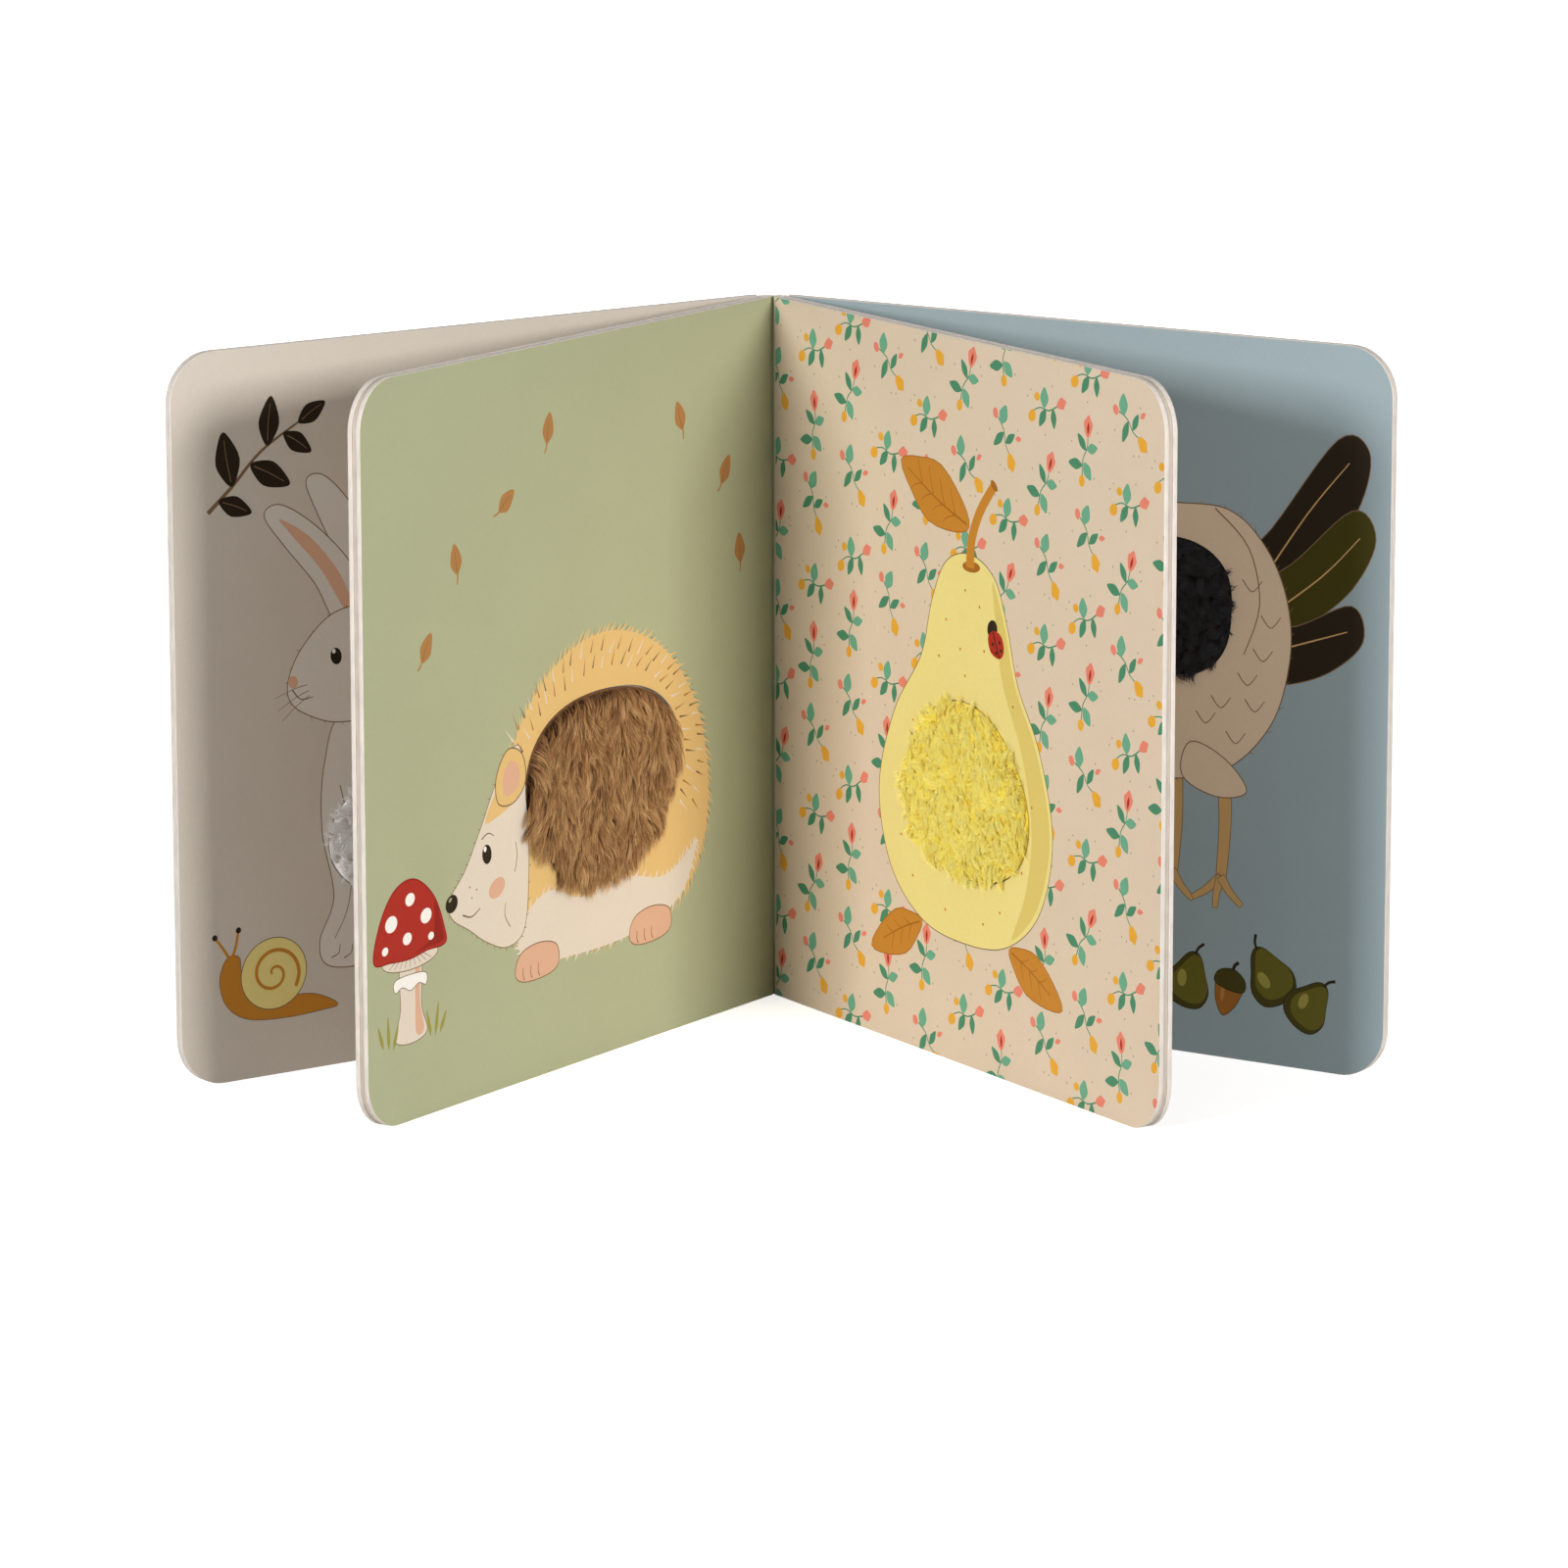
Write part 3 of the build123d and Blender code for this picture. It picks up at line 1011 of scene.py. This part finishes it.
def pile_material(name, colours, roughness, sheen, glow):
    """Pile whose colour runs from painted shade at the root to painted highlight at the tip, by the value
    kept at each point.
    """
    material, tree, shader, _ = new_material(name)
    shade_and_tone = add_node(tree, "Attribute", {}, attribute_name="shade_and_tone").outputs["Fac"]
    colour = add_ramp(tree, shade_and_tone, [(stop, linear(ink)) for stop, ink in zip((0.0, 0.5, 1.0), colours)])
    set_inputs(tree, shader, {
        "Base Color": colour,
        "Roughness": roughness,
        "Specular IOR Level": 0.3,
        "Sheen Weight": sheen,
        "Sheen Roughness": 0.4,
    })
    through = add_node(tree, "BsdfTranslucent", {"Color": colour})
    sides = {"Fac": glow, 1: shader.outputs["BSDF"], 2: through.outputs["BSDF"]}
    mixed = add_node(tree, "MixShader", sides)
    set_inputs(tree, tree.nodes["Material Output"], {"Surface": mixed.outputs["Shader"]})
    return material


def smooth_field(places, seed, wavelength):
    """An even, slowly changing value of about -1 to 1 over the page."""
    rng = np.random.default_rng(seed)
    total = np.zeros(len(places))
    waves = 6
    for _ in range(waves):
        turn = rng.uniform(0, 2 * pi)
        wave = 2 * pi / (wavelength * rng.uniform(0.7, 1.5))
        phase = rng.uniform(0, 2 * pi)
        total += np.sin(wave * (places[:, 0] * cos(turn) + places[:, 1] * sin(turn)) + phase)
    usual_peak = 3.2
    return total / usual_peak


def scatter(window, count, rng, reach):
    """Places spread evenly inside a window, and how far and which way each is from its middle."""
    turn = rng.uniform(0, 2 * pi, count)
    share = np.sqrt(rng.uniform(0, 1, count)) * reach
    return np.column_stack(window_place(window, turn, share)), share, turn


def ground_height(share, pile):
    """How far the fabric's ground stands above the page, from its crown to its edge."""
    return pile.crown - (pile.crown - pile.edge) * share**6


def nearest_clump(roots, centres):
    """The clump that each strand belongs to, worked out in parts to save memory."""
    nearest = np.zeros(len(roots), int)
    part = 2000
    for start in range(0, len(roots), part):
        apart = roots[start:start + part, None, :] - centres[None, :, :]
        nearest[start:start + part] = (apart**2).sum(2).argmin(1)
    return nearest


def strand_paths(window, pile, rng, seed):
    """Each strand as STRAND_STEPS + 1 points of out, up and height above the page, and its clump."""
    roots, share, around = scatter(window, pile.count, rng, 0.97)
    centres, _, _ = scatter(window, pile.clumps, rng, 1.0)
    nearest = nearest_clump(roots, centres)
    wavelength = 16.0
    swirl = smooth_field(roots, seed, wavelength) * pile.fan
    clump_turn = rng.uniform(-1, 1, pile.clumps) * pile.fan * 0.6
    turn = combed_down + swirl + clump_turn[nearest] + rng.normal(0, 0.16, pile.count)
    clump_swirl = smooth_field(centres, seed, wavelength) * pile.fan + clump_turn + combed_down
    length = pile.length * rng.uniform(0.75, 1.2, pile.count)
    lift = pile.lift * rng.uniform(0.7, 1.15, pile.count)
    lift *= rng.uniform(0.8, 1.15, pile.clumps)[nearest]
    phase = rng.uniform(0, 2 * pi, pile.count)
    curl_turns = rng.uniform(0.7, 1.3, pile.count)
    root_height = ground_height(share, pile)
    paths = np.zeros((pile.count, STRAND_STEPS + 1, 3))
    for step in range(STRAND_STEPS + 1):
        t = step / STRAND_STEPS
        bend = 0.35 * t + 0.65 * t * t
        wind = 2 * pi * curl_turns * t + phase
        out = roots[:, 0] + length * bend * np.cos(turn) + pile.curl * t * np.cos(wind)
        up = roots[:, 1] + length * bend * np.sin(turn) + pile.curl * t * np.sin(wind)
        clump_run = pile.length * bend
        goal_out = centres[nearest, 0] + clump_run * np.cos(clump_swirl[nearest])
        goal_up = centres[nearest, 1] + clump_run * np.sin(clump_swirl[nearest])
        pull = pile.pull * t**1.4
        splay = pile.splay * share**8 * t
        out += (goal_out - out) * pull + splay * np.cos(around)
        up += (goal_up - up) * pull + splay * np.sin(around)
        rise = lift * (1 - (1 - t)**2) - 0.28 * lift * t**3
        paths[:, step] = np.column_stack([out, up, root_height + rise])
    return paths, nearest


def unit(vectors):
    return vectors / (np.linalg.norm(vectors, axis=-1, keepdims=True) + 1e-9)


def on_strands(left, right, middle):
    """One row for each point of each strand: pairs along it, then its tip."""
    pairs = np.stack([left, right], axis=2)[:, :-1].reshape(len(left), -1, 3)
    return np.concatenate([pairs, middle[:, -1:]], axis=1).reshape(-1, 3)


def strand_ribbons(paths, pile, rng):
    """A tapered, slightly twisted ribbon along each strand, with normals that round it off."""
    tangent = unit(np.gradient(paths, axis=1))
    twist = rng.uniform(-0.5, 0.5, pile.count)[:, None, None]
    away = np.array([0.0, 0.0, 1.0])
    flat_side = unit(np.cross(tangent, away))
    lifted = np.cross(flat_side, tangent)
    side = flat_side * np.cos(twist) + lifted * np.sin(twist)
    half = pile.width / 2 * rng.uniform(0.7, 1.3, pile.count)
    shift = side * (half[:, None] * np.array(strand_taper)[None, :])[:, :, None]
    facing = away * 0.55 + lifted * 0.45
    places = on_strands(paths - shift, paths + shift, paths)
    normals = on_strands(facing - side * 0.35, facing + side * 0.35, facing)
    return places, normals / np.linalg.norm(normals, axis=1, keepdims=True)


def strand_faces(count):
    """The faces of each strand: quads along it, and a triangle to its tip."""
    per_strand = 2 * STRAND_STEPS + 1
    faces = []
    for first in range(0, count * per_strand, per_strand):
        for step in range(STRAND_STEPS - 1):
            corner = first + 2 * step
            faces.append((corner, corner + 1, corner + 3, corner + 2))
        tip = first + per_strand - 1
        faces.append((tip - 2, tip - 1, tip))
    return faces


def mesh_with_painted_shade(name, board, points, faces, shade_and_tone, material):
    """A mesh with painted shade and random tone kept at each point; its faces suit a board on the right."""
    if board.side == LEFT:
        faces = [face[::-1] for face in faces]
    mesh = bpy.data.meshes.new(name)
    mesh.from_pydata(points, [], faces)
    attribute = mesh.attributes.new("shade_and_tone", "FLOAT", "POINT")
    attribute.data.foreach_set("value", shade_and_tone)
    mesh.materials.append(material)
    return mesh


def make_strands(name, board, window, pile, seed, material):
    rng = np.random.default_rng(seed)
    paths, nearest = strand_paths(window, pile, rng, seed)
    places, normals = strand_ribbons(paths, pile, rng)
    axes = np.array([board.out, UP, -board.back])
    world = (np.array(board.root) + places @ axes) * MM
    clump_tone = rng.normal(0, 0.09, pile.clumps)
    strand_tone = rng.normal(0, 0.1, pile.count) + clump_tone[nearest]
    # Each point's value: painted shade near the root and painted highlight near the tip, plus each clump's
    # and strand's own random tone
    along = np.array([0, 0, 1, 1, 2, 2, 3, 3, 4]) / STRAND_STEPS
    shade_and_tone = np.clip(0.16 + 0.66 * along[None, :]**0.8 + strand_tone[:, None], 0, 1)
    faces = strand_faces(pile.count)
    mesh = mesh_with_painted_shade(name, board, world.tolist(), faces, shade_and_tone.astype(np.float32).ravel(), material)
    mesh.polygons.foreach_set("use_smooth", [True] * len(faces))
    mesh.normals_split_custom_set_from_vertices((normals @ axes).tolist())
    return add_object(name, mesh)


def make_backing(name, board, window, pile, material):
    """The fabric's ground: domed in front, flat on the window's floor, coloured with the roots' painted
    shade.
    """
    rings = 14
    around = 72
    points = []
    for flat in (False, True):
        for ring in range(rings + 1):
            share = backing_share * ring / rings
            depth = sheet_thickness if flat else -ground_height(share, pile)
            for step in range(around if ring else 1):
                place = window_place(window, 2 * pi * step / around, share)
                points.append(tuple(spot(board, *place, depth)))
    layer = 1 + rings * around
    edge = layer - around
    faces = []
    for base in (0, layer):
        for ring in range(rings):
            outer = base + 1 + ring * around
            inner = outer - around
            for step in range(around):
                after = (step + 1) % around
                if ring == 0:
                    face = (base, outer + step, outer + after)
                else:
                    face = (inner + step, outer + step, outer + after, inner + after)
                faces.append(face[::-1] if base else face)
    for step in range(around):
        after = (step + 1) % around
        faces.append((edge + step, layer + edge + step, layer + edge + after, edge + after))
    # The ground takes the colour near the strands' roots: painted shade under the pile
    root_shade = 0.2
    mesh = mesh_with_painted_shade(name, board, points, faces, [root_shade] * len(points), material)
    return add_object(name, mesh)


def make_pile(name, body, board, window, pile, seed, **look):
    """Pile fabric: a backing glued in the window, and strands that stand on it."""
    material = pile_material(name, **look)
    strands = make_strands(name + "_pile", board, window, pile, seed, material)
    backing = make_backing(name + "_backing", board, window, pile, material)
    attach(strands, body)
    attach(backing, body)
    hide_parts(name)


# The book
make_leaf("left_leaf", left_leaf, "green_paper", "sand_paper", hedgehog_page(), brown_window)
make_leaf("right_leaf", right_leaf, "beige_paper", "sand_paper", pear_page(), yellow_window)
make_fold()
make_cover("front_board", "front_cover", front_cover, "grey_paper", rabbit_page(), white_window)
make_cover("back_board", "back_cover", back_cover, "blue_paper", hen_page(), black_window)
make_hinge("front_hinge", front_crease, front_cover)
make_hinge("back_hinge", back_crease, back_cover)
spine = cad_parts["spine"]
spine.data.materials.clear()
spine.data.materials.append(material_for("cover_paper"))

# The four fabrics: lengths in millimetres, fan in radians, colours from root to tip, as painted shade at
# the root, the fabric's own colour in the middle and painted highlight at the tip
make_pile(
    "brown_fur", "leaves", left_leaf, brown_window,
    Pile(count=27000, clumps=900, length=6.4, lift=2.4, fan=0.6, curl=0.16, pull=0.55, width=0.18,
         crown=0.35, edge=-0.5, splay=0.3),
    seed=101, colours=((66, 42, 23), (154, 107, 63), (222, 180, 126)),
    roughness=0.7, sheen=0.15, glow=0.1,
)
make_pile(
    "yellow_fur", "leaves", right_leaf, yellow_window,
    Pile(count=27000, clumps=1500, length=2.3, lift=0.8, fan=3.1, curl=0.42, pull=0.2, width=0.14,
         crown=1.25, edge=-0.1, splay=1.6),
    seed=202, colours=((255, 219, 58), (255, 235, 92), (255, 248, 158)),
    roughness=0.85, sheen=0.5, glow=0.0,
)
make_pile(
    "black_fur", "back_cover", back_cover, black_window,
    Pile(count=16000, clumps=420, length=3.0, lift=1.7, fan=2.8, curl=0.6, pull=0.5, width=0.19,
         crown=0.6, edge=-0.4, splay=0.6),
    seed=303, colours=((9, 9, 10), (20, 20, 22), (56, 56, 62)),
    roughness=0.5, sheen=0.3, glow=0.1,
)
make_pile(
    "white_fur", "front_cover", front_cover, white_window,
    Pile(count=14000, clumps=900, length=2.3, lift=1.0, fan=3.1, curl=0.42, pull=0.25, width=0.17,
         crown=1.2, edge=-0.15, splay=1.6),
    seed=404, colours=((248, 246, 243), (252, 251, 249), (255, 255, 255)),
    roughness=0.85, sheen=0.25, glow=0.0,
)


# Camera: the photograph's view
def make_camera():
    data = bpy.data.cameras.new("camera")
    data.sensor_fit = "HORIZONTAL"
    data.sensor_width = 36
    data.lens = 171.8
    data.clip_end = 50
    camera = add_object("camera", data)
    place = Vector((2.53, -1761.5, 416.5))
    pitch = 11.70
    roll = -0.083
    camera.location = place * MM
    camera.rotation_mode = "XYZ"
    camera.rotation_euler = (radians(90 - pitch), 0, 0)
    camera.rotation_euler.rotate_axis("Z", radians(roll))
    bpy.context.scene.camera = camera


# Light: softboxes on both sides of the camera, above and behind, a faint surround and a white floor
def add_softbox(name, azimuth, elevation, distance, width, height, power):
    """A lamp that faces the book; azimuth 0 is the front, and sizes are in metres."""
    data = bpy.data.lights.new(name, "AREA")
    data.shape = "RECTANGLE"
    data.size = width
    data.size_y = height
    data.energy = power
    light = add_object(name, data)
    turn = radians(azimuth)
    rise = radians(elevation)
    aim = Vector((0, -0.08, 0.085))
    away = Vector((sin(turn) * cos(rise), -cos(turn) * cos(rise), sin(rise)))
    light.location = aim + away * distance
    light.rotation_euler = (-away).to_track_quat("-Z", "Y").to_euler()


def seen_directly(tree):
    """1 for camera, glossy and transmission rays, 0 for the rest."""
    rays = add_node(tree, "LightPath", {}).outputs
    seen = rays["Is Camera Ray"]
    for name in ("Is Glossy Ray", "Is Transmission Ray"):
        seen = add_math(tree, "MAXIMUM", seen, rays[name])
    return seen


def make_surround(strength):
    """White where it is seen, with little light of its own."""
    world = bpy.data.worlds.new("surround")
    bpy.context.scene.world = world
    world.use_nodes = True
    tree = world.node_tree
    amount = add_node(tree, "MapRange", {"Value": seen_directly(tree), "To Min": strength, "To Max": 1.0})
    inputs = {"Color": (1, 1, 1, 1), "Strength": amount.outputs["Result"]}
    set_inputs(tree, tree.nodes["Background"], inputs)


def make_floor():
    """A white floor that keeps a soft shade near the book."""
    half = 12.0
    mesh = bpy.data.meshes.new("floor")
    corners = [(-half, -half, 0), (half, -half, 0), (half, half, 0), (-half, half, 0)]
    mesh.from_pydata(corners, [], [(0, 1, 2, 3)])
    floor = add_object("floor", mesh)
    material, tree, shader, place = new_material("floor")
    reach = add_node(tree, "VectorMath", {0: place}, operation="LENGTH")
    shade = {"From Min": 0.2, "From Max": 0.7, "To Min": 0.66, "To Max": 1.0}
    level = add_node(tree, "MapRange", {"Value": reach.outputs["Value"], **shade})
    glow = add_math(tree, "MULTIPLY", seen_directly(tree), level.outputs["Result"])
    set_inputs(tree, shader, {
        "Base Color": (0.9, 0.9, 0.9, 1),
        "Roughness": 0.9,
        "Specular IOR Level": 0.0,
        "Emission Color": (1, 1, 1, 1),
        "Emission Strength": glow,
    })
    mesh.materials.append(material)


make_camera()
add_softbox("right_softbox", 41, 15, 2.2, 0.52, 0.45, power=35.8)
add_softbox("left_softbox", -41.5, 15, 2.2, 0.5, 0.45, power=34.8)
add_softbox("top_softbox", -20, 62, 1.5, 0.5, 0.5, power=2.1)
add_softbox("rear_softbox", 180, 14, 2.6, 1.2, 0.7, power=46.0)
make_surround(0.012)
make_floor()
bpy.context.scene.view_settings.view_transform = "Standard"
